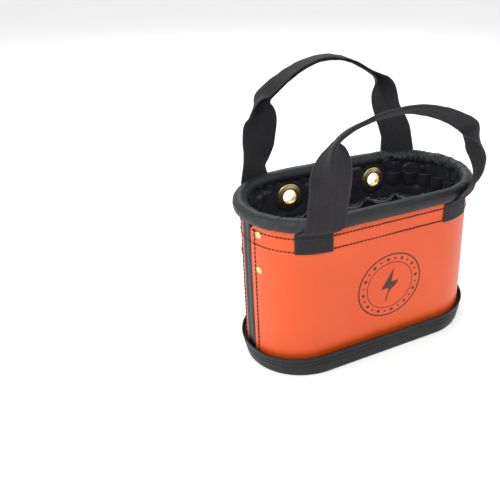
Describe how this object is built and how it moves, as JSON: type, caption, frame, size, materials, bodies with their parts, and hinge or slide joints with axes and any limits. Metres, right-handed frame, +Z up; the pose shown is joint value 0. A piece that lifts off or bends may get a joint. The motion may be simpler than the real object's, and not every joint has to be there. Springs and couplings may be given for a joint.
{
  "type": "tool bucket organizer",
  "caption": "Oval open-top tool bucket: hard orange plastic walls, padded black rim, stitched dark boot, pocketed lining, hanging holes and webbing carrying handles.",
  "frame": {"origin": "on the floor below the middle of the oval bucket body, at the middle of the base's underside", "axes": "+X along the bucket's long side, to the right as seen from the printed front; -Y out of the front wall, +Y out of the back wall that has the hanging holes; +Z up"},
  "size_m": [0.3826, 0.2555, 0.4103],
  "materials": {
    "shell_plastic": "smooth satin-gloss moulded sheet, bright orange",
    "seam_trim": "ribbed black edge trim",
    "rim_padding": "soft cord padding, hidden inside the rim's cover",
    "rim_fabric": "slate black coated nylon, gathered at the ends",
    "lining_fabric": "black nylon with a light sheen",
    "pocket_fabric": "black nylon with bound hems",
    "elastic_web": "black woven elastic",
    "stiff_board": "stiff black board",
    "boot_leather": "dark grey grained coated leather, two rows of stitching",
    "sheath_leather": "oiled tan leather",
    "patch_rubber": "matt black washer",
    "brass_hardware": "polished brass, slightly worn",
    "webbing": "charcoal twill webbing"
  },
  "bodies": {
    "bucket": {"front_panel": "shell_plastic", "back_panel": "shell_plastic", "left_seam_strip": "seam_trim", "right_seam_strip": "seam_trim", "rim_core": "rim_padding", "rim_cover": "rim_fabric", "lining_wall": "lining_fabric", "lining_floor": "lining_fabric", "floor_board": "stiff_board", "base_boot": "boot_leather", "base_welt": "stiff_board", "drain_eyelets": "brass_hardware", "sheath_back": "sheath_leather", "sheath_pouch": "sheath_leather", "sheath_studs": "brass_hardware", "panel_rivets": "brass_hardware", "rivet_burrs": "brass_hardware", "tool_loop_band": "elastic_web", "left_hang_grommet": "brass_hardware", "right_hang_grommet": "brass_hardware", "left_grommet_ring": "brass_hardware", "right_grommet_ring": "brass_hardware", "grommet_patches": "patch_rubber", "front_handle_left_tab": "webbing", "front_handle_right_tab": "webbing", "back_handle_left_tab": "webbing", "back_handle_right_tab": "webbing", "pocket_01": "pocket_fabric", "pocket_02": "pocket_fabric", "pocket_03": "pocket_fabric", "pocket_04": "pocket_fabric", "pocket_05": "pocket_fabric", "pocket_06": "pocket_fabric", "pocket_07": "pocket_fabric", "pocket_08": "pocket_fabric", "pocket_09": "pocket_fabric", "pocket_10": "pocket_fabric", "pocket_11": "pocket_fabric", "pocket_12": "pocket_fabric", "pocket_13": "pocket_fabric", "pocket_14": "pocket_fabric"},
    "front_handle": {"front_handle_loop": "webbing"},
    "back_handle": {"back_handle_loop": "webbing"}
  },
  "joints": [
    {"name": "front_handle_swing", "type": "hinge", "parent": "bucket", "child": "front_handle", "pos_m": [0, -0.1055, 0.256], "axis": [1, 0, 0], "range_deg": [-38, 153]},
    {"name": "back_handle_swing", "type": "hinge", "parent": "bucket", "child": "back_handle", "pos_m": [0, 0.1055, 0.256], "axis": [-1, 0, 0], "range_deg": [-36, 160]}
  ]
}
